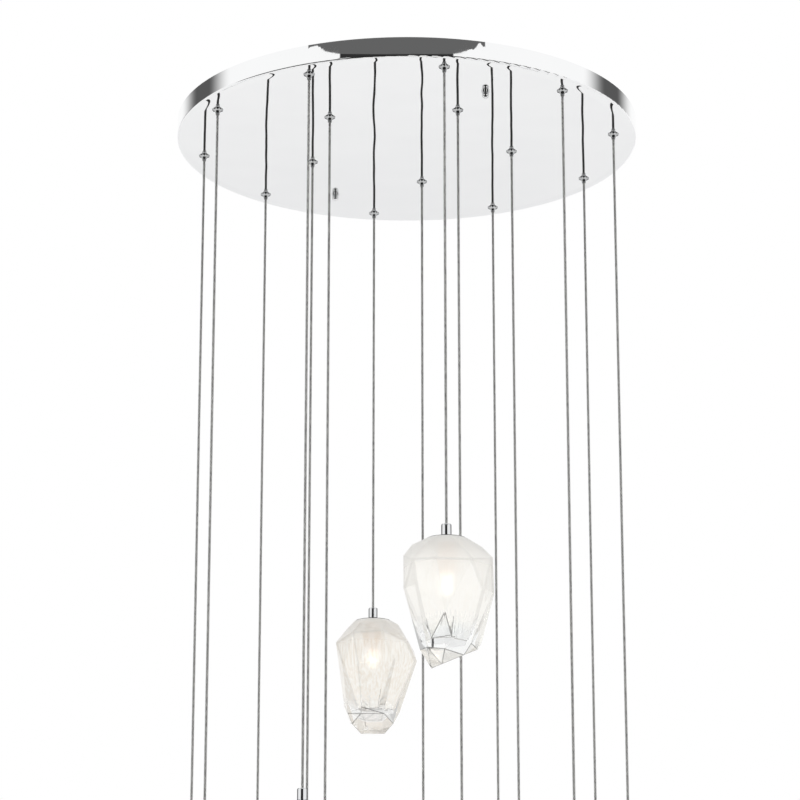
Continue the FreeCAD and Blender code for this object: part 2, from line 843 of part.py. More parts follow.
def make_hanging():
    """The cable, lamp head and glass of each of the fifteen lamps."""
    head_parts = make_lamp_head()
    # the flat facets between the glass's corners come from their hull, which no sketch or primitive gives
    glass = doc.addObject("Part::Feature", "glass_solid")
    glass.Shape = glass_shape()
    nodes = []
    for lamp in HANGING:
        name, across, up = lamp["name"], lamp["across"], lamp["up"]
        head_top = f"-canopy_height - {lamp['drop']}"
        cable = doc.addObject("Part::Cylinder", f"cable_{name}")
        bind(
            cable,
            Radius="cable_radius",
            Height=f"{lamp['drop']} - gland_length - swing_gap + cable_insert",
            Placement__Base__x=across,
            Placement__Base__y=up,
            Placement__Base__z=f"{head_top} - cable_insert",
        )
        copies = [
            copy_at(part, f"{part.Name}_{name}", across, up, head_top, lamp["turn"])
            for part in head_parts
        ]
        seat = f"{head_top} + ({GLASS_SEAT})"
        shade = copy_at(glass, f"glass_copy_{name}", across, up, seat, lamp["turn"])
        nodes += [cable, group(f"lamp_head_{name}", copies), group(f"glass_{name}", [shade])]
    return nodes


def finish(nodes):
    """Tests every object and sub-part, then writes one file for each node."""
    doc.recompute()
    for thing in doc.Objects:
        if "Invalid" in thing.State or "Error" in thing.State:
            raise RuntimeError(f"{thing.Name} failed: {thing.State}")
    os.makedirs("parts", exist_ok=True)
    for node in nodes:
        node.Label = node.Name
        shape = node.Shape
        if shape.isNull() or not shape.isValid() or not shape.Solids:
            raise RuntimeError(f"{node.Name} has no valid solid")
        shape.exportStep(os.path.join("parts", node.Name + ".step"))
        print(node.Name, len(shape.Solids), "solids,", round(shape.Volume), "mm3")


leads = make_leads()
nodes = [make_canopy(), make_bar(), make_earth_screw(), leads]
nodes += make_studs() + make_cap_nuts() + make_glands() + make_terminal_block(leads) + make_hanging()
finish(nodes)
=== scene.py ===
import math

import bpy
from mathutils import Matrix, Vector


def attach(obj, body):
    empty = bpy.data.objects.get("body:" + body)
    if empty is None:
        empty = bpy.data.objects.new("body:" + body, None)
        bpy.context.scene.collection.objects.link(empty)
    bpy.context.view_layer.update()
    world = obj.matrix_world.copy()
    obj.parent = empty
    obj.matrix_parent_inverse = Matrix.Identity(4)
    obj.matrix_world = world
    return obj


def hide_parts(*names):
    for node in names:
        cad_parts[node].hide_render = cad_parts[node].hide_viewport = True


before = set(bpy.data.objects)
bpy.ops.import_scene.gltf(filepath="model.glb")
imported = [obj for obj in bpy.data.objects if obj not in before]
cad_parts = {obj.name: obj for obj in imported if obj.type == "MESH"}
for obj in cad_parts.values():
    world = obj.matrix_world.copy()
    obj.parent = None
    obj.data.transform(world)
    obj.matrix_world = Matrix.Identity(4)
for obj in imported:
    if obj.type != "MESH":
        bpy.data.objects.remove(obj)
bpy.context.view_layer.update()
print("frame loaded:", len(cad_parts), "nodes")

# metres throughout; the origin is on the ceiling in the middle of the canopy, and the lamps hang down

canopy = {"underside": -0.025, "outerRing": 0.2706, "innerRing": 0.14, "outerFirst": 63.6, "innerFirst": 81.4}

# how far each lamp's head hangs below the canopy, and how many degrees its glass is turned
outerLamps = [(0.876, 35), (0.563, 90), (1.100, 310), (1.020, 140), (0.945, 255),
              (0.876, 20), (0.572, 202), (1.100, 165), (1.020, 60), (0.945, 285)]
innerLamps = [(0.985, 120), (1.060, 240), (0.915, 5), (1.140, 75), (1.180, 330)]

# which shades of each ring are ground more coarsely
coarseShades = {"first": 1, "every": 3}


def lampPlaces():
    places = []
    rings = ((outerLamps, "outerFirst", "outerRing"), (innerLamps, "innerFirst", "innerRing"))
    for lamps, first, ring in rings:
        for n, (drop, turn) in enumerate(lamps):
            angle = math.radians(canopy[first] + 360 / len(lamps) * n)
            places.append({
                "name": f"{len(places) + 1:02d}",
                "x": canopy[ring] * math.cos(angle),
                "y": canopy[ring] * math.sin(angle),
                "headTop": canopy["underside"] - drop,
                "turn": math.radians(turn),
                "coarse": (n - coarseShades["first"]) % coarseShades["every"] == 0,
            })
    return places


lamps = lampPlaces()

# camera

cameraView = {"place": (-0.0088, -3.460, -1.345), "pitch": 15.71, "lens": 126.7, "sensor": 36}


def addCamera(view):
    bpy.ops.object.camera_add(location=view["place"], rotation=(math.radians(90 + view["pitch"]), 0, 0))
    camera = bpy.context.object
    camera.data.lens = view["lens"]
    camera.data.sensor_width = view["sensor"]
    bpy.context.scene.camera = camera


addCamera(cameraView)
print("camera placed")

# small helpers, angles in degrees

rounding = {"smoothBelow": 35, "sharpAbove": 50, "steps": 2, "mergeBelow": 1e-6}
sidesRound = {"headCap": 40, "coverDisc": 64, "threadedTube": 24, "galleryRing": 64, "lampHolder": 40,
              "lampCapsule": 32, "lampFilament": 20}


def clearSelection():
    if bpy.context.mode != "OBJECT":
        bpy.ops.object.mode_set(mode="OBJECT")
    bpy.ops.object.select_all(action="DESELECT")


def pickOnly(piece):
    clearSelection()
    piece.select_set(True)
    bpy.context.view_layer.objects.active = piece


def settle(piece):
    # the piece's place goes into its mesh, so that its object stands at the origin
    pickOnly(piece)
    bpy.ops.object.transform_apply(location=True, rotation=True, scale=True)


def turnedPiece(name, rings):
    # a circle pulled along its axis from ring to ring, each a (radius, height); open ends are closed flat
    clearSelection()
    (radius, height), sides = rings[0], sidesRound[name]
    bpy.ops.mesh.primitive_circle_add(vertices=sides, radius=radius, location=(0, 0, height))
    piece = bpy.context.object
    piece.name = name
    bpy.ops.object.mode_set(mode="EDIT")
    bpy.ops.mesh.select_all(action="SELECT")
    for (nowRadius, nowHeight), (radius, height) in zip(rings, rings[1:]):
        bpy.ops.mesh.extrude_region_move(TRANSFORM_OT_translate={"value": (0, 0, height - nowHeight)})
        share = radius / nowRadius
        bpy.ops.transform.resize(value=(share, share, 1), center_override=(0, 0, height))
    bpy.ops.mesh.select_all(action="SELECT")
    bpy.ops.mesh.remove_doubles(threshold=rounding["mergeBelow"])
    bpy.ops.mesh.fill_holes(sides=0)
    bpy.ops.mesh.normals_make_consistent(inside=False)
    bpy.ops.object.mode_set(mode="OBJECT")
    settle(piece)
    bpy.ops.object.shade_smooth_by_angle(angle=math.radians(rounding["smoothBelow"]))
    return piece


def applyModifier(piece, kind, **settings):
    pickOnly(piece)
    modifier = piece.modifiers.new(kind.lower(), kind)
    for key, value in settings.items():
        setattr(modifier, key, value)
    bpy.ops.object.modifier_apply(modifier=modifier.name)


def softenEdges(piece, width, sharpAbove=rounding["sharpAbove"]):
    applyModifier(piece, "BEVEL", width=width, segments=rounding["steps"], limit_method="ANGLE",
                  angle_limit=math.radians(sharpAbove), use_clamp_overlap=True)


def copyTo(piece, name, lamp):
    # one more of a piece that was modelled on the axis, hung at a lamp's place
    twin = piece.copy()
    twin.data = piece.data.copy()
    twin.name = name
    bpy.context.scene.collection.objects.link(twin)
    twin.location = (lamp["x"], lamp["y"], lamp["headTop"])
    twin.rotation_euler = (0, 0, lamp["turn"])
    settle(twin)
    return twin


def dress(piece, *materials):
    piece.data.materials.clear()
    for material in materials:
        piece.data.materials.append(material)


class Nodes:
    # short ways to add and join the nodes of one tree

    def __init__(self, tree):
        self.tree = tree

    def add(self, kind, **settings):
        node = self.tree.nodes.new("ShaderNode" + kind)
        for key, value in settings.items():
            setattr(node, key, value)
        return node

    def join(self, source, target):
        self.tree.links.new(source, target)

    def noise(self, where, scale, detail=3, roughness=0.5):
        noise = self.add("TexNoise")
        noise.inputs["Scale"].default_value = scale
        noise.inputs["Detail"].default_value = detail
        noise.inputs["Roughness"].default_value = roughness
        self.join(where, noise.inputs["Vector"])
        return noise.outputs["Fac"]

    def axes(self, source):
        parts = self.add("SeparateXYZ")
        self.join(source, parts.inputs["Vector"])
        return parts.outputs["X"], parts.outputs["Y"], parts.outputs["Z"]

    def maths(self, operation, *values):
        node = self.add("Math", operation=operation)
        for socket, value in zip(node.inputs, values):
            if isinstance(value, (int, float)):
                socket.default_value = value
            else:
                self.join(value, socket)
        return node.outputs[0]

    def spread(self, source, low, high, fromLow=0.3, fromHigh=0.7, blend="LINEAR"):
        # most of a noise lies between 0.3 and 0.7
        spread = self.add("MapRange", interpolation_type=blend)
        for key, value in (("From Min", fromLow), ("From Max", fromHigh), ("To Min", low), ("To Max", high)):
            spread.inputs[key].default_value = value
        self.join(source, spread.inputs["Value"])
        return spread.outputs["Result"]

    def step(self, source, start, end):
        # 0 before the start and 1 past the end, eased between them
        return self.spread(source, 0, 1, start, end, "SMOOTHSTEP")

    def layer(self, kind, **values):
        node = self.add(kind)
        for key, value in values.items():
            node.inputs[key].default_value = value
        return node

    def blend(self, first, second, share):
        mix = self.add("MixShader")
        if isinstance(share, float):
            mix.inputs["Fac"].default_value = share
        else:
            self.join(share, mix.inputs["Fac"])
        self.join(first.outputs[0], mix.inputs[1])
        self.join(second.outputs[0], mix.inputs[2])
        return mix


class Finish(Nodes):
    # a material and the nodes that go to its shader

    def __init__(self, name):
        self.material = bpy.data.materials.new(name)
        self.material.use_nodes = True
        super().__init__(self.material.node_tree)
        self.shader = self.tree.nodes["Principled BSDF"]
        self.output = self.tree.nodes["Material Output"]

    def set(self, **values):
        for key, value in values.items():
            self.shader.inputs[key.replace("_", " ")].default_value = value

    def feed(self, source, name):
        self.join(source, self.shader.inputs[name])

    def show(self, shader):
        self.join(shader.outputs[0], self.output.inputs["Surface"])

    def place(self, scale=(1, 1, 1)):
        # the surface's own place in metres
        mapping = self.add("Mapping")
        mapping.inputs["Scale"].default_value = scale
        self.join(self.add("TexCoord").outputs["Object"], mapping.inputs["Vector"])
        return mapping.outputs["Vector"]

    def reach(self):
        # how far the surface is from the middle, seen from above
        length = self.add("VectorMath", operation="LENGTH")
        self.join(self.place((1, 1, 0)), length.inputs[0])
        return length.outputs["Value"]

    def tint(self, source, low, high):
        mix = self.add("Mix", data_type="RGBA")
        mix.inputs["A"].default_value = (*low, 1)
        mix.inputs["B"].default_value = (*high, 1)
        self.join(source, mix.inputs["Factor"])
        return mix.outputs["Result"]

    def bump(self, source, strength, distance, shader=None):
        bump = self.add("Bump")
        bump.inputs["Strength"].default_value = strength
        bump.inputs["Distance"].default_value = distance
        self.join(source, bump.inputs["Height"])
        self.join(bump.outputs["Normal"], (shader or self.shader).inputs["Normal"])

    def lightPasses(self, shader, tone):
        # light reaches what stands behind the clear glass
        clear = self.layer("BsdfTransparent", Color=(*tone, 1))
        return self.blend(shader, clear, self.add("LightPath").outputs["Is Shadow Ray"])


# metals

mirrorLook = {"colour": (0.95, 0.953, 0.955), "worn": (0.92, 0.925, 0.93), "cloudSize": 14,
              "mistSize": 60, "mist": 0.012, "waveSize": 9, "waveDepth": 0.0013, "waveShare": 0.5,
              "rollFrom": 0.284, "rollTo": 0.2985, "rollDepth": 0.0006}


def mirrorChrome(look):
    f = Finish("mirrorChrome")
    f.set(Metallic=1)
    f.feed(f.tint(f.noise(f.place(), look["cloudSize"], 4), look["worn"], look["colour"]), "Base Color")
    f.feed(f.spread(f.noise(f.place(), look["mistSize"], 5), 0, look["mist"]), "Roughness")
    # the sheet is a little wavy, and rises towards its rolled edge
    roll = f.spread(f.reach(), look["rollDepth"], 0, look["rollFrom"], look["rollTo"], "SMOOTHSTEP")
    wave = f.noise(f.place((1, 1, 0)), look["waveSize"], 1)
    f.bump(f.maths("MULTIPLY_ADD", wave, look["waveDepth"], roll), look["waveShare"], 1)
    return f.material


# plated and plain metals: roughness from and to, and how their grain is stretched upwards
trimLook = {"colour": (0.84, 0.85, 0.86), "worn": (0.76, 0.77, 0.78), "edge": (0.10, 0.10, 0.10),
            "roughness": (0.03, 0.09), "stretch": 1}
nickelLook = {"colour": (0.62, 0.625, 0.63), "worn": (0.50, 0.505, 0.51), "edge": (0.02, 0.02, 0.02),
              "roughness": (0.05, 0.12), "stretch": 1}
# painted shade: the cover disc is chrome, but is given a near-black colour so that it draws a dark arc at the top of
# the glass and darkens the frosted shoulder below it
discLook = {"colour": (0.17, 0.17, 0.175), "worn": (0.12, 0.12, 0.125), "edge": (0.02, 0.02, 0.02),
            "roughness": (0.06, 0.14), "stretch": 1}
nutLook = {"colour": (0.93, 0.935, 0.94), "worn": (0.84, 0.845, 0.85), "edge": (0.0, 0.0, 0.0),
           "roughness": (0.02, 0.06), "stretch": 1}
zincLook = {"colour": (0.60, 0.61, 0.62), "worn": (0.48, 0.49, 0.51), "edge": (1, 1, 1),
            "roughness": (0.28, 0.45), "stretch": 0.2}
brassLook = {"colour": (0.74, 0.56, 0.27), "worn": (0.60, 0.43, 0.19), "edge": (1, 1, 1),
             "roughness": (0.2, 0.34), "stretch": 1}
metalGrain = {"cloudSize": 90, "polishSize": 400, "size": 700, "share": 0.15, "depth": 0.00005}


def plated(name, look):
    f = Finish(name)
    f.set(Metallic=1, Specular_Tint=(*look["edge"], 1))
    stretched = (1, 1, look["stretch"])
    cloud = f.noise(f.place(), metalGrain["cloudSize"], 4)
    f.feed(f.tint(cloud, look["worn"], look["colour"]), "Base Color")
    f.feed(f.spread(f.noise(f.place(stretched), metalGrain["polishSize"], 3), *look["roughness"]), "Roughness")
    f.bump(f.noise(f.place(stretched), metalGrain["size"], 2), metalGrain["share"], metalGrain["depth"])
    return f.material


chromeMirror = mirrorChrome(mirrorLook)
chromeTrim = plated("chromeTrim", trimLook)
darkNickel = plated("darkNickel", nickelLook)
paintedShadeDisc = plated("paintedShadeDisc", discLook)
chromeNut = plated("chromeNut", nutLook)
zincSteel = plated("zincSteel", zincLook)
brassPlain = plated("brassPlain", brassLook)

# moulded and ceramic pieces

plasticLook = {"colour": (0.84, 0.84, 0.81), "shade": (0.78, 0.78, 0.75), "roughness": 0.42, "size": 120}
# painted light: the lamp holder's ceramic is given a peach colour for the lamp's warm light on it, which shows as a
# warm patch through the frost
ceramicLook = {"colour": (0.82, 0.56, 0.37), "shade": (0.70, 0.43, 0.27), "roughness": 0.55, "size": 160}
mouldGrain = {"glossFiner": 3, "finer": 8, "uneven": 0.06, "share": 0.2, "depth": 0.00004}


def moulded(name, look):
    f = Finish(name)
    size, rough, uneven = look["size"], look["roughness"], mouldGrain["uneven"]
    f.feed(f.tint(f.noise(f.place(), size, 4), look["shade"], look["colour"]), "Base Color")
    gloss = f.noise(f.place(), size * mouldGrain["glossFiner"], 3)
    f.feed(f.spread(gloss, rough - uneven, rough + uneven), "Roughness")
    f.bump(f.noise(f.place(), size * mouldGrain["finer"], 2), mouldGrain["share"], mouldGrain["depth"])
    return f.material


whitePlastic = moulded("whitePlastic", plasticLook)
warmLitCeramic = moulded("warmLitCeramic", ceramicLook)

# cables: a silver braid under a clear jacket

braidLook = {"bright": (0.64, 0.64, 0.62), "dark": (0.13, 0.13, 0.13), "paintedMirrorShade": (0.05, 0.05, 0.05),
             "pitch": 0.0040, "strands": 4, "gap": -0.2, "fleckSize": 420, "fleckStretch": 0.6, "fleck": 0.45,
             "rough": 0.5, "smooth": 0.28, "metal": 0.55, "coat": 0.6, "coatRoughness": 0.08,
             "depth": 0.00015, "depthShare": 0.5}


def braidedCable(look):
    f = Finish("braidedCable")
    roundCable = f.axes(f.add("TexCoord").outputs["UV"])[1]
    height = f.axes(f.place())[2]

    def strandWave(way):
        # one set of strands, wound one way round the cable
        around = f.maths("MULTIPLY", roundCable, way * look["strands"])
        turns = f.maths("MULTIPLY_ADD", height, 1 / look["pitch"], around)
        return f.maths("SINE", f.maths("MULTIPLY", turns, 2 * math.pi))

    weave = f.maths("MAXIMUM", strandWave(1), strandWave(-1))
    # painted glints: here and there single wires are brighter, as if catching the light, and some are darker
    wires = f.noise(f.place((1, 1, look["fleckStretch"])), look["fleckSize"], 2)
    fleck = f.spread(wires, -look["fleck"], look["fleck"])
    weaveAndGlints = f.maths("ADD", f.spread(weave, 0, 1, look["gap"], 1), fleck)
    # painted shade: for rays from glossy surfaces the braid's colour turns near black, so its reflection in the
    # mirror above looks like an unlit upper side
    upper = f.add("Mix", data_type="RGBA")
    upper.inputs["B"].default_value = (*look["paintedMirrorShade"], 1)
    f.join(f.tint(weaveAndGlints, look["dark"], look["bright"]), upper.inputs["A"])
    f.join(f.add("LightPath").outputs["Is Glossy Ray"], upper.inputs["Factor"])
    f.feed(upper.outputs["Result"], "Base Color")
    f.feed(f.spread(weave, look["rough"], look["smooth"], look["gap"], 1), "Roughness")
    f.set(Metallic=look["metal"], Coat_Weight=look["coat"], Coat_Roughness=look["coatRoughness"])
    f.bump(weave, look["depthShare"], look["depth"])
    return f.material


cableBraid = braidedCable(braidLook)

jacketLook = {"colour": (0.55, 0.55, 0.53), "shade": (0.42, 0.42, 0.41), "cloudSize": 300, "glossSize": 200,
              "roughness": (0.3, 0.42), "coat": 0.4, "coatRoughness": 0.1}


def greyJacket(look):
    # the leads inside the canopy, stripped to a grey inner jacket
    f = Finish("leadJacket")
    f.feed(f.tint(f.noise(f.place(), look["cloudSize"], 3), look["shade"], look["colour"]), "Base Color")
    f.feed(f.spread(f.noise(f.place(), look["glossSize"], 2), *look["roughness"]), "Roughness")
    f.set(Coat_Weight=look["coat"], Coat_Roughness=look["coatRoughness"])
    return f.material


leadJacket = greyJacket(jacketLook)

# cables as cords

cable = {"diameter": 0.0032, "exit": -0.0324, "inserted": 0.005, "rounding": 4}


def hangCable(lamp):
    # straight down from its gland into the lamp's head cap
    top, low = cable["exit"], lamp["headTop"] - cable["inserted"]
    line = bpy.data.curves.new("cable_" + lamp["name"] + "_line", "CURVE")
    line.dimensions = "3D"
    line.bevel_depth = cable["diameter"] / 2
    line.bevel_resolution = cable["rounding"]
    line.use_fill_caps = True
    spline = line.splines.new("NURBS")
    heights = (top, (top + low) / 2, low)
    spline.points.add(len(heights) - 1)
    for point, height in zip(spline.points, heights):
        point.co = (lamp["x"], lamp["y"], height, 1)
    spline.order_u = 3
    spline.use_endpoint_u = True
    cord = bpy.data.objects.new("cableCord_" + lamp["name"], line)
    bpy.context.scene.collection.objects.link(cord)
    dress(cord, cableBraid)
    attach(cord, "cable_" + lamp["name"])
    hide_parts("cable_" + lamp["name"])
    return cord, top - low


cords = {lamp["name"]: hangCable(lamp) for lamp in lamps}
print("cables hung:", len(cords))

# lamp head, heights down from the top of its cap

head = {"capRadius": 0.006, "capHeight": 0.0145, "edge": 0.0014, "lip": 0.0004, "groove": 0.0003,
        "bore": 0.00168, "recess": 0.0075, "tubeRadius": 0.004, "tubeBore": 0.0026,
        "edgeTurns": (0, 0.4, 0.8, 1.2, math.pi / 2)}
disc = {"rise": 0.003, "thickness": 0.0008, "radius": 0.0235, "brim": 0.01712, "edge": 0.0002,
        "crown": ((0.0075, 0.0004), (0.0112, 0.001), (0.0145, 0.0019))}  # radius and drop, outwards
thread = {"pitch": 0.001, "depth": 0.0003, "gap": 0.0002, "inHolder": 0.006}
gallery = {"outside": 0.01912, "inside": 0.01712, "height": 0.009, "edge": 0.0004}
holder = {"gap": 0.003, "radius": 0.0125, "height": 0.036, "edge": 0.001, "bore": 0.0041, "boreDepth": 0.006,
          "grooveFrom": 0.011, "grooveTo": 0.014, "grooveDepth": 0.0008, "grooveSlope": 0.0005,
          "socket": 0.008, "socketDepth": 0.006}
capsule = {"radius": 0.0074, "length": 0.034, "wall": 0.0008, "tip": 0.0003, "base": 0.8, "baseEdge": 0.0008,
           "seal": 0.010, "sealSlope": 0.0005, "body": 0.97, "inside": 0.011, "domeSteps": 8}
filament = {"radius": 0.0013, "waist": 0.75, "length": 0.007, "down": 0.0215, "windings": 6,
            "bulge": 0.0003, "end": 0.0002}

discSeat = -head["capHeight"]
glassSeat = discSeat - disc["rise"] - disc["thickness"]
holderTop = glassSeat - holder["gap"]
holderEnd = holderTop - holder["height"]
capsuleTop = holderEnd + holder["socketDepth"]


def makeHeadCap():
    r, edge, low, groove = head["capRadius"], head["edge"], -head["capHeight"], head["groove"]
    rings = [(head["bore"], -head["recess"]), (head["bore"], -head["lip"]), (head["bore"] + head["lip"], 0)]
    rings += [(r - edge * (1 - math.sin(turn)), -edge * (1 - math.cos(turn))) for turn in head["edgeTurns"]]
    rings += [(r, low + 4 * groove), (r - groove, low + 3 * groove), (r - groove, low + 2 * groove)]
    rings += [(r, low + groove), (r, low), (head["tubeRadius"], low), (head["tubeRadius"], -head["recess"])]
    return turnedPiece("headCap", rings + rings[:1])


def makeCoverDisc():
    top, thick = discSeat, disc["thickness"]
    upper = [(head["tubeRadius"], top)] + [(radius, top - drop) for radius, drop in disc["crown"]]
    upper.append((disc["brim"], top - disc["rise"]))
    rings = upper + [(disc["radius"], top - disc["rise"]), (disc["radius"], top - disc["rise"] - thick)]
    rings += [(radius, height - thick) for radius, height in reversed(upper)] + upper[:1]
    piece = turnedPiece("coverDisc", rings)
    softenEdges(piece, disc["edge"])
    return piece


def makeThreadedTube():
    # ridges of the thread along the tube that joins cap, disc and holder
    top, low, pitch = -head["recess"] - thread["gap"], holderTop - thread["inHolder"], thread["pitch"]
    ridge, root = head["tubeRadius"], head["tubeRadius"] - thread["depth"]
    rings = [(head["tubeBore"], top), (root, top)]
    height = top - pitch / 2
    while height - pitch > low:
        rings += [(ridge, height), (root, height - pitch / 2)]
        height -= pitch
    rings += [(root, low), (head["tubeBore"], low)]
    return turnedPiece("threadedTube", rings + rings[:1])


def makeGalleryRing():
    top, low = glassSeat, glassSeat - gallery["height"]
    rings = [(gallery["inside"], top), (gallery["outside"], top), (gallery["outside"], low), (gallery["inside"], low)]
    piece = turnedPiece("galleryRing", rings + rings[:1])
    softenEdges(piece, gallery["edge"])
    return piece


def makeHolder():
    r, top, low, edge = holder["radius"], holderTop, holderEnd, holder["edge"]
    grooved, slope = r - holder["grooveDepth"], holder["grooveSlope"]
    start, end = top - holder["grooveFrom"], top - holder["grooveTo"]
    rings = [(holder["bore"], top - holder["boreDepth"]), (holder["bore"], top), (r - edge, top), (r, top - edge)]
    rings += [(r, start), (grooved, start - slope), (grooved, end + slope), (r, end), (r, low + edge)]
    rings += [(r - edge, low), (holder["socket"], low), (holder["socket"], low + holder["socketDepth"])]
    return turnedPiece("lampHolder", rings)


def domeRings(radius, height, depth):
    turns = [math.pi / 2 * step / capsule["domeSteps"] for step in range(capsule["domeSteps"])]
    rings = [(radius * math.cos(turn), height - depth * math.sin(turn)) for turn in turns]
    return rings + [(capsule["tip"], height - depth)]


def makeCapsule():
    # a glass capsule, hollow round its filament
    r, wall, body = capsule["radius"], capsule["wall"], capsule["radius"] * capsule["body"]
    seal, inside = capsuleTop - capsule["seal"], capsuleTop - capsule["inside"]
    dome = capsuleTop - capsule["length"] + r
    rings = [(capsule["tip"], capsuleTop), (r * capsule["base"], capsuleTop), (r, capsuleTop - capsule["baseEdge"])]
    rings += [(r, seal), (body, seal - capsule["sealSlope"])] + domeRings(body, dome, r)
    rings += domeRings(body - wall, dome, r - wall)[::-1] + [(body - wall, inside), (capsule["tip"], inside)]
    return turnedPiece("lampCapsule", rings)


def makeFilament():
    # the wound filament on the lamp's axis
    top, length, r = capsuleTop - filament["down"] + filament["length"] / 2, filament["length"], filament["radius"]
    rings = [(filament["end"], top)]
    for winding in range(filament["windings"]):
        height = top - length * (winding + 0.5) / filament["windings"]
        rings += [(r, height + filament["bulge"]), (r * filament["waist"], height - filament["bulge"])]
    rings.append((filament["end"], top - length))
    return turnedPiece("lampFilament", rings)


# the lamp glows warm: a bright filament in a faintly glowing glass capsule

glowLook = {"colour": (1.0, 0.84, 0.60), "hot": (1.0, 0.94, 0.83), "filament": 20, "capsule": 0.4,
            "wireDark": (0.7, 0.6, 0.5), "wireLight": (0.8, 0.7, 0.6), "wireSize": 900,
            "glassDark": (0.97, 0.96, 0.94), "glassLight": (0.99, 0.99, 0.98), "glassSize": 260,
            "roughness": (0.10, 0.18), "index": 1.46}


def glowingFilament(look):
    f = Finish("glowingFilament")
    mottle = f.noise(f.place(), look["wireSize"], 3)
    f.feed(f.tint(mottle, look["colour"], look["hot"]), "Emission Color")
    f.feed(f.tint(mottle, look["wireDark"], look["wireLight"]), "Base Color")
    f.set(Emission_Strength=look["filament"])
    return f.material


def capsuleGlass(look):
    f = Finish("capsuleGlass")
    mottle = f.noise(f.place(), look["glassSize"], 3)
    f.feed(f.tint(mottle, look["glassDark"], look["glassLight"]), "Base Color")
    f.feed(f.spread(mottle, *look["roughness"]), "Roughness")
    f.feed(f.tint(mottle, look["colour"], look["hot"]), "Emission Color")
    f.set(Transmission_Weight=1, IOR=look["index"], Emission_Strength=look["capsule"])
    f.show(f.lightPasses(f.shader, look["glassDark"]))
    return f.material


filamentGlow = glowingFilament(glowLook)
lampGlass = capsuleGlass(glowLook)

parts = {
    "headCap": (makeHeadCap(), chromeTrim, "chrome"),
    "coverDisc": (makeCoverDisc(), paintedShadeDisc, "chrome"),
    "threadedTube": (makeThreadedTube(), zincSteel, "zinc_steel"),
    "galleryRing": (makeGalleryRing(), chromeTrim, "chrome"),
    "lampHolder": (makeHolder(), warmLitCeramic, "white_plastic"),
    "lampCapsule": (makeCapsule(), lampGlass, "frosted_glass"),
    "lampFilament": (makeFilament(), filamentGlow, "zinc_steel"),
}
for lamp in lamps:
    body = "lamp_" + lamp["name"]
    for kind, (piece, material, slot) in parts.items():
        twin = copyTo(piece, kind + "_" + lamp["name"], lamp)
        dress(twin, material)
        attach(twin, body)
        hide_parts("lamp_head_" + lamp["name"])
for piece, *_ in parts.values():
    bpy.data.objects.remove(piece)
print("lamp heads made:", len(lamps))

# glass: clear facets outside, the hollow's wall frosted white down to a ragged edge; depths are from its top

shade = {
    # the clear glass
    "index": 1.48, "clear": (0.985, 0.99, 0.985), "cloudy": (0.955, 0.965, 0.96), "hazeSize": 40,
    "satin": 0.32, "satinFrom": 0.02, "uneven": 0.03, "rippleSize": 55, "rippleDepth": 0.0006, "rippleShare": 0.12,
    # the frost in the hollow
    "frostFrom": 0.087, "frostTo": 0.108, "ragged": 0.010, "streakSize": 430, "streakStretch": 0.07,
    "streakDepth": 0.0004, "streakShare": 0.25, "streakLow": 0.38, "streakHigh": 0.62, "streakRoughness": 0.6,
    "frostLight": (0.985, 0.98, 0.965), "frostDark": (0.88, 0.84, 0.77),
    # painted light: the frost's own glow, for the lamp's light scattered in it, and how much dimmer it is on the
    # shoulder
    "glow": (1.0, 0.985, 0.95), "glowDark": (0.87, 0.81, 0.73), "glowShare": 0.66, "glowLevel": 1.05,
    "shoulder": 0.86, "shoulderFrom": 0.012, "shoulderTo": 0.042,
    "polish": 0.02, "wideBlur": 0.55, "narrowBlur": 0.24, "coarse": 1.0, "fine": 0.2, "coarseReach": 0.016,
    # the painted dark outlines low in the glass, and the cut foot
    "lineDark": (0.05, 0.05, 0.05), "lineLight": (0.30, 0.30, 0.295), "lineSize": 90, "lineRoughness": 0.2,
    "lineWidth": 0.0006, "lineFrom": 0.094, "floorFrom": 0.115, "footFrom": 0.118, "footSlope": -0.5,
    # painted shade: the foot glass's darker, beige tone, and the pale copy used for the coarse shades
    "footCloudy": (0.80, 0.775, 0.72), "footClear": (0.93, 0.91, 0.87),
    "paleCloudy": (0.93, 0.92, 0.90), "paleClear": (0.98, 0.975, 0.96),
    # the mesh, angles in degrees
    "mergeBelow": 1e-5, "flatBelow": 0.5, "hollowMiddle": 0.07, "edge": 0.00025, "sharpAbove": 4, "smoothBelow": 1.5,
}
glassSlots = {"clear": 0, "frosted": 1, "lines": 2, "foot": 3}


def glassHaze(f, look, cloudy, clear):
    haze = f.noise(f.place(), look["hazeSize"], 3)
    f.feed(f.tint(haze, cloudy, clear), "Base Color")
    return haze


def glassSpot(f):
    # the place in the glass, from its axis and down from its top
    spot = f.add("Attribute", attribute_name="inGlass").outputs["Vector"]
    return spot, f.axes(spot)[2]


def clearGlass(name, look, cloudy, clear):
    f = Finish(name)
    f.set(Transmission_Weight=1, IOR=look["index"])
    haze = glassHaze(f, look, cloudy, clear)
    # satin outside the frosted part, polished below it
    satin = f.spread(glassSpot(f)[1], look["satin"], 0, look["satinFrom"], look["frostFrom"])
    f.feed(f.maths("MULTIPLY_ADD", haze, look["uneven"], satin), "Roughness")
    f.bump(f.noise(f.place(), look["rippleSize"], 2), look["rippleShare"], look["rippleDepth"])
    f.show(f.lightPasses(f.shader, look["clear"]))
    return f.material


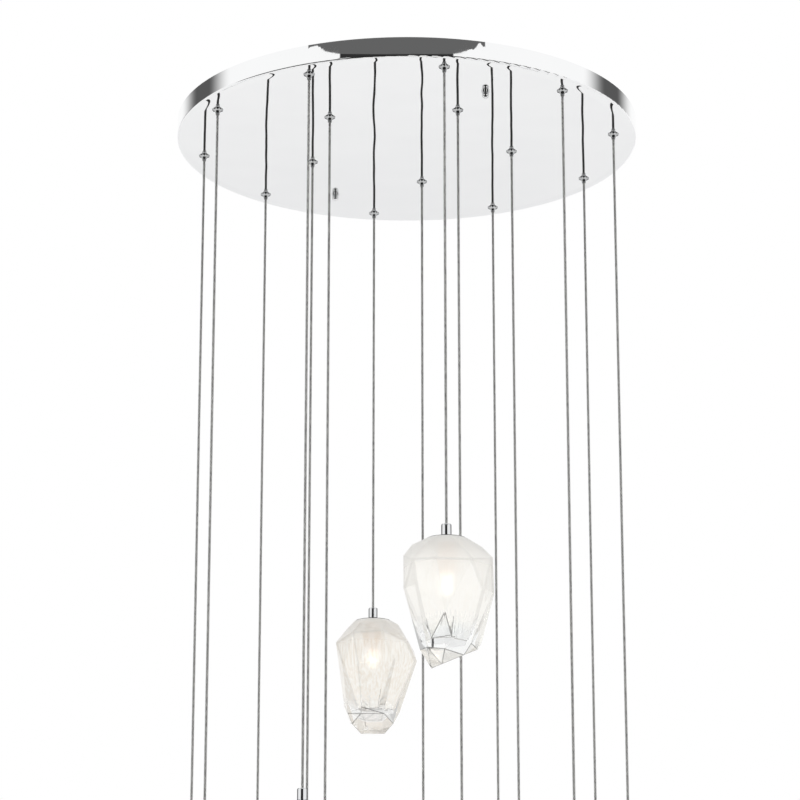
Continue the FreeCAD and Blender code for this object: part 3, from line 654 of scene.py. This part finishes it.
def frostedHollow(look):
    # the hollow's wall: clear glass that turns to white frost above a ragged, streaky edge
    f = Finish("frostedHollow")
    f.set(Transmission_Weight=1, IOR=look["index"], Roughness=look["polish"])
    glassHaze(f, look, look["cloudy"], look["clear"])
    spot, depth = glassSpot(f)
    upright = f.add("Mapping")
    upright.inputs["Scale"].default_value = (1, 1, look["streakStretch"])
    f.join(spot, upright.inputs["Vector"])
    streak = f.noise(upright.outputs["Vector"], look["streakSize"], 4, look["streakRoughness"])
    coarse = f.add("Attribute", attribute_name="coarseness").outputs["Fac"]
    edge = f.maths("MULTIPLY_ADD", streak, look["ragged"] * 2, depth)
    edge = f.maths("MULTIPLY_ADD", coarse, -look["coarseReach"], edge)
    frost = f.spread(edge, 1, 0, look["frostFrom"] + look["ragged"], look["frostTo"] + look["ragged"])
    # some shades are ground more coarsely, further down and with upright streaks
    uneven = f.maths("MULTIPLY", f.spread(streak, 0, 1, look["streakHigh"], look["streakLow"]), coarse)
    white = f.tint(uneven, look["frostLight"], look["frostDark"])
    through, face = f.layer("BsdfTranslucent"), f.layer("BsdfDiffuse")
    for surface in (through, face):
        f.join(white, surface.inputs["Color"])
    f.bump(streak, look["streakShare"], look["streakDepth"], through)
    blurs = [f.layer("BsdfRefraction", IOR=look["index"], Roughness=look[blur], Color=(*look["frostLight"], 1))
             for blur in ("wideBlur", "narrowBlur")]
    # painted light: the frost glows by itself, standing in for the lamp's light scattered in it, and glows less in
    # the coarse streaks
    glow = f.layer("Emission")
    f.join(f.tint(uneven, look["glow"], look["glowDark"]), glow.inputs["Color"])
    # painted shade: the frost's glow is weaker on the shoulder, where the cover disc keeps the lamp's light off
    shoulder = f.step(depth, look["shoulderFrom"], look["shoulderTo"])
    strength = f.maths("MULTIPLY_ADD", shoulder, look["glowLevel"] - look["shoulder"], look["shoulder"])
    f.join(strength, glow.inputs["Strength"])
    milk = f.blend(f.blend(through, face, 0.5), f.blend(*blurs, 0.5), 0.5)
    frosted = f.blend(milk, glow, look["glowShare"])
    f.show(f.blend(f.lightPasses(f.shader, look["clear"]), frosted, frost))
    return f.material


def paintedEdgeShade(look):
    # painted shade: the rounded edges low in the glass are tinted near black, for the light they turn away
    f = Finish("paintedEdgeShade")
    f.feed(f.tint(f.noise(f.place(), look["lineSize"], 3), look["lineDark"], look["lineLight"]), "Base Color")
    f.set(Roughness=look["lineRoughness"], Transmission_Weight=1, IOR=look["index"])
    f.show(f.lightPasses(f.shader, look["clear"]))
    return f.material


glassClear = clearGlass("clearGlass", shade, shade["cloudy"], shade["clear"])
# painted shade: two copies of the foot glass, a darker beige one and a pale one, chosen by whether the shade is
# coarse
glassFeet = {False: clearGlass("footGlass", shade, shade["footCloudy"], shade["footClear"]),
             True: clearGlass("paleFootGlass", shade, shade["paleCloudy"], shade["paleClear"])}  # by coarse or not
glassFrosted = frostedHollow(shade)
glassLines = paintedEdgeShade(shade)


def roundLowEdges(glass, hollow, foot, top):
    # the edges at the hollow's lower end and round the cut foot are rounder, and carry the painted dark outlines in
    # the glass
    low = {key for face in foot for key in face.edge_keys}
    for key in {key for face in hollow for key in face.edge_keys}:
        depths = [top - glass.data.vertices[end].co.z for end in key]
        if min(depths) > shade["lineFrom"] and max(depths) > shade["floorFrom"]:
            low.add(key)
    pickOnly(glass)
    bpy.ops.object.mode_set(mode="EDIT")
    bpy.ops.mesh.select_mode(type="EDGE")
    bpy.ops.mesh.select_all(action="DESELECT")
    bpy.ops.object.mode_set(mode="OBJECT")
    for edge in glass.data.edges:
        edge.select = tuple(sorted(edge.vertices)) in low
    bpy.ops.object.mode_set(mode="EDIT")
    bpy.ops.mesh.bevel(offset=shade["lineWidth"], segments=rounding["steps"], affect="EDGES",
                       material=glassSlots["lines"])
    bpy.ops.object.mode_set(mode="OBJECT")


def makeGlass(lamp):
    # a merged copy of the modelled shade, its ground edges softened, its hollow's faces given the frost
    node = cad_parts["glass_" + lamp["name"]]
    glass = bpy.data.objects.new("glassShade_" + lamp["name"], node.data.copy())
    bpy.context.scene.collection.objects.link(glass)
    pickOnly(glass)
    bpy.ops.object.mode_set(mode="EDIT")
    bpy.ops.mesh.select_all(action="SELECT")
    bpy.ops.mesh.remove_doubles(threshold=shade["mergeBelow"])
    bpy.ops.mesh.dissolve_limited(angle_limit=math.radians(shade["flatBelow"]))
    bpy.ops.object.mode_set(mode="OBJECT")
    dress(glass, glassClear, glassFrosted, glassLines, glassFeet[lamp["coarse"]])
    top = lamp["headTop"] + glassSeat
    middle = Vector((lamp["x"], lamp["y"], top - shade["hollowMiddle"]))
    hollow = [face for face in glass.data.polygons if face.normal.dot(middle - face.center) > 0]
    foot = [face for face in glass.data.polygons
            if face.normal.z < shade["footSlope"] and top - face.center.z > shade["footFrom"]]
    for faces, slot in ((hollow, "frosted"), (foot, "foot")):
        for face in faces:
            face.material_index = glassSlots[slot]
    roundLowEdges(glass, hollow, foot, top)
    softenEdges(glass, shade["edge"], shade["sharpAbove"])
    spot = glass.data.attributes.new("inGlass", "FLOAT_VECTOR", "POINT")
    for corner, value in zip(glass.data.vertices, spot.data):
        value.vector = (corner.co.x - lamp["x"], corner.co.y - lamp["y"], top - corner.co.z)
    coarseness = glass.data.attributes.new("coarseness", "FLOAT", "POINT")
    for value in coarseness.data:
        value.value = shade["coarse"] if lamp["coarse"] else shade["fine"]
    pickOnly(glass)
    bpy.ops.object.shade_smooth_by_angle(angle=math.radians(shade["smoothBelow"]))
    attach(glass, "lamp_" + lamp["name"])
    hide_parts("glass_" + lamp["name"])


for lamp in lamps:
    makeGlass(lamp)
print("glasses made:", len(lamps))

# the canopy's own pieces keep their modelled shapes and get their finishes

canopyFinishes = {
    "canopy_pan": (chromeMirror, "mirror_chrome"),
    "mounting_bar": (zincSteel, "zinc_steel"),
    "bar_studs": (zincSteel, "zinc_steel"),
    "stud_nuts": (zincSteel, "zinc_steel"),
    "earth_screw": (brassPlain, "brass"),
    "terminal_block": (whitePlastic, "white_plastic"),
    "block_screws": (zincSteel, "zinc_steel"),
    "inner_leads": (leadJacket, "clear_cable"),
    "cable_glands": (darkNickel, "chrome"),
    "gland_locknuts": (zincSteel, "zinc_steel"),
    "cable_grips": (brassPlain, "brass"),
    "cap_nut_1": (chromeNut, "chrome"),
    "cap_nut_2": (chromeNut, "chrome"),
}
for nodeName, (material, slot) in canopyFinishes.items():
    dress(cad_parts[nodeName], material)
print("canopy finished")

# studio: a pale floor and an even bright room with a dark side behind the camera

darkWedgeEnd = 0.89  # cosine of half the angle of the dark wedge in front, on the floor and up from it

floorLook = {"height": -2.5, "size": 60, "dark": (0.86, 0.86, 0.865), "light": (0.97, 0.97, 0.97),
             "cloudSize": 0.8, "cloud": 0.6, "toneFrom": 5.4, "toneTo": 7.6, "nearTone": 0.5, "farTone": -0.3,
             "roughness": 0.7, "lift": 0.125, "fadeFrom": 9, "fadeTo": 24,
             "reflectedDarkFrom": -0.5, "reflectedDarkTo": -5.0, "reflectedDarkTone": 0.02, "nearEdge": 0.1, "farEdge": 0.5, "wedgeEdge": 0.01}


def addFloor(look):
    clearSelection()
    bpy.ops.mesh.primitive_plane_add(size=look["size"], location=(0, 0, look["height"]))
    floor = bpy.context.object
    floor.name = "studioFloor"
    f = Finish("paleFloor")
    y, reach = f.axes(f.place())[1], f.reach()
    # painted reflection: the floor is darker further back, so the canopy's mirror is brighter at its near edge
    away = f.spread(y, look["nearTone"], look["farTone"], look["toneFrom"], look["toneTo"])
    cloud = f.maths("MULTIPLY_ADD", f.noise(f.place(), look["cloudSize"], 3), look["cloud"], away)
    f.feed(f.tint(cloud, look["dark"], look["light"]), "Base Color")
    f.set(Roughness=look["roughness"], Emission_Color=(1, 1, 1, 1), Emission_Strength=look["lift"])
    # painted reflection: for glossy rays only, the floor in front turns near black, so polished metal reflects a dark
    # mat that nothing else sees
    near = f.spread(y, 1, 0, look["reflectedDarkFrom"], look["reflectedDarkFrom"] + look["nearEdge"])
    facing = f.maths("DIVIDE", f.maths("MULTIPLY", y, -1), reach)
    wedge = f.spread(facing, 0, 1, darkWedgeEnd - look["wedgeEdge"], darkWedgeEnd + look["wedgeEdge"])
    far = f.maths("MAXIMUM", wedge, f.spread(y, 0, 1, look["reflectedDarkTo"], look["reflectedDarkTo"] + look["farEdge"]))
    path = f.add("LightPath")
    bounced = f.maths("GREATER_THAN", path.outputs["Is Glossy Ray"], path.outputs["Is Transmission Ray"])
    mirrorOnlyDark = f.maths("MULTIPLY", f.maths("MULTIPLY", near, far), bounced)
    # far off the floor fades into the white room
    fade = f.step(reach, look["fadeFrom"], look["fadeTo"])
    plain = f.blend(f.shader, f.layer("Emission", Color=(1, 1, 1, 1)), fade)
    tone = look["reflectedDarkTone"]
    covered = f.blend(plain, f.layer("Emission", Color=(tone, tone, tone, 1)), mirrorOnlyDark)
    # seen from underneath the floor lets the view through to the lamps
    f.show(f.blend(covered, f.add("BsdfTransparent"), f.add("NewGeometry").outputs["Backfacing"]))
    dress(floor, f.material)


# heights and sides of the cards are parts of a direction of length 1, from and to
roomLook = {"white": 1.0, "frontTone": 0.13, "lowTone": 0.03, "sideTone": 0.10, "throughGlass": 0.4,
            "cardLow": 0.3861, "cardRise": 0.0024, "cardEnd": 0.725, "cardSkew": 0.1, "cardTop": (0.75, 0.6),
            "riseFrom": 0.01, "riseTo": 0.02, "lowEdge": 0.0001, "endEdge": 0.003,
            "tornSize": 16, "tornDepth": 0.006, "overhead": 0.001,
            "sideFront": (-0.12, -0.45), "sideBack": (-0.90, -0.62), "sideLow": (0.02, 0.08)}


def addRoom(look):
    world = bpy.data.worlds.new("studioRoom")
    world.use_nodes = True
    world.node_tree.nodes.clear()
    bpy.context.scene.world = world
    r = Nodes(world.node_tree)
    path = r.add("LightPath")
    direction = r.add("TexCoord").outputs["Generated"]
    x, y, z = r.axes(direction)
    ground = r.maths("SQRT", r.maths("ADD", r.maths("MULTIPLY", x, x), r.maths("MULTIPLY", y, y)))
    facing = r.maths("DIVIDE", r.maths("MULTIPLY", y, -1), r.maths("MAXIMUM", ground, look["overhead"]))
    below = r.step(z, *look["cardTop"])
    # a grey card behind the camera with a torn lower edge, over a darker and narrower one down to the floor
    end = r.maths("MULTIPLY_ADD", x, -look["cardSkew"], facing)
    outer = r.step(end, darkWedgeEnd + look["riseFrom"], look["cardEnd"] + look["riseTo"])
    torn = r.noise(direction, look["tornSize"], 4)
    rise = r.maths("MULTIPLY_ADD", torn, look["tornDepth"], look["cardRise"] - look["tornDepth"] / 2)
    height = r.maths("SUBTRACT", z, r.maths("MULTIPLY", outer, rise))
    above = r.step(height, look["cardLow"] - look["lowEdge"], look["cardLow"] + look["lowEdge"])
    ends = [r.step(end, middle - look["endEdge"], middle + look["endEdge"]) for middle in (look["cardEnd"], darkWedgeEnd)]
    card = r.maths("MULTIPLY", r.maths("MAXIMUM", r.maths("MULTIPLY", ends[0], above), ends[1]), below)
    through = r.maths("MULTIPLY", path.outputs["Is Transmission Ray"], look["throughGlass"])
    front = r.maths("MULTIPLY_ADD", above, look["frontTone"] - look["lowTone"], look["lowTone"])
    tone = r.maths("SUBTRACT", r.maths("MAXIMUM", front, through), look["white"])
    level = r.maths("MULTIPLY_ADD", card, tone, look["white"])
    # a card at each side, between the camera and the back
    sides = r.maths("MULTIPLY", r.step(facing, *look["sideFront"]), r.step(facing, *look["sideBack"]))
    sides = r.maths("MULTIPLY", r.maths("MULTIPLY", sides, r.step(z, *look["sideLow"])), below)
    tone = r.maths("SUBTRACT", r.maths("MAXIMUM", through, look["sideTone"]), level)
    level = r.maths("MULTIPLY_ADD", sides, tone, level)
    room = r.layer("Background", Color=(1, 1, 1, 1))
    r.join(level, room.inputs["Strength"])
    # the camera itself sees the plain white room
    plain = r.layer("Background", Color=(1, 1, 1, 1), Strength=look["white"])
    seen = r.blend(room, plain, path.outputs["Is Camera Ray"])
    r.join(seen.outputs[0], r.add("OutputWorld").inputs["Surface"])


addFloor(floorLook)
addRoom(roomLook)
bpy.context.scene.view_settings.view_transform = "Standard"
print("studio lit")
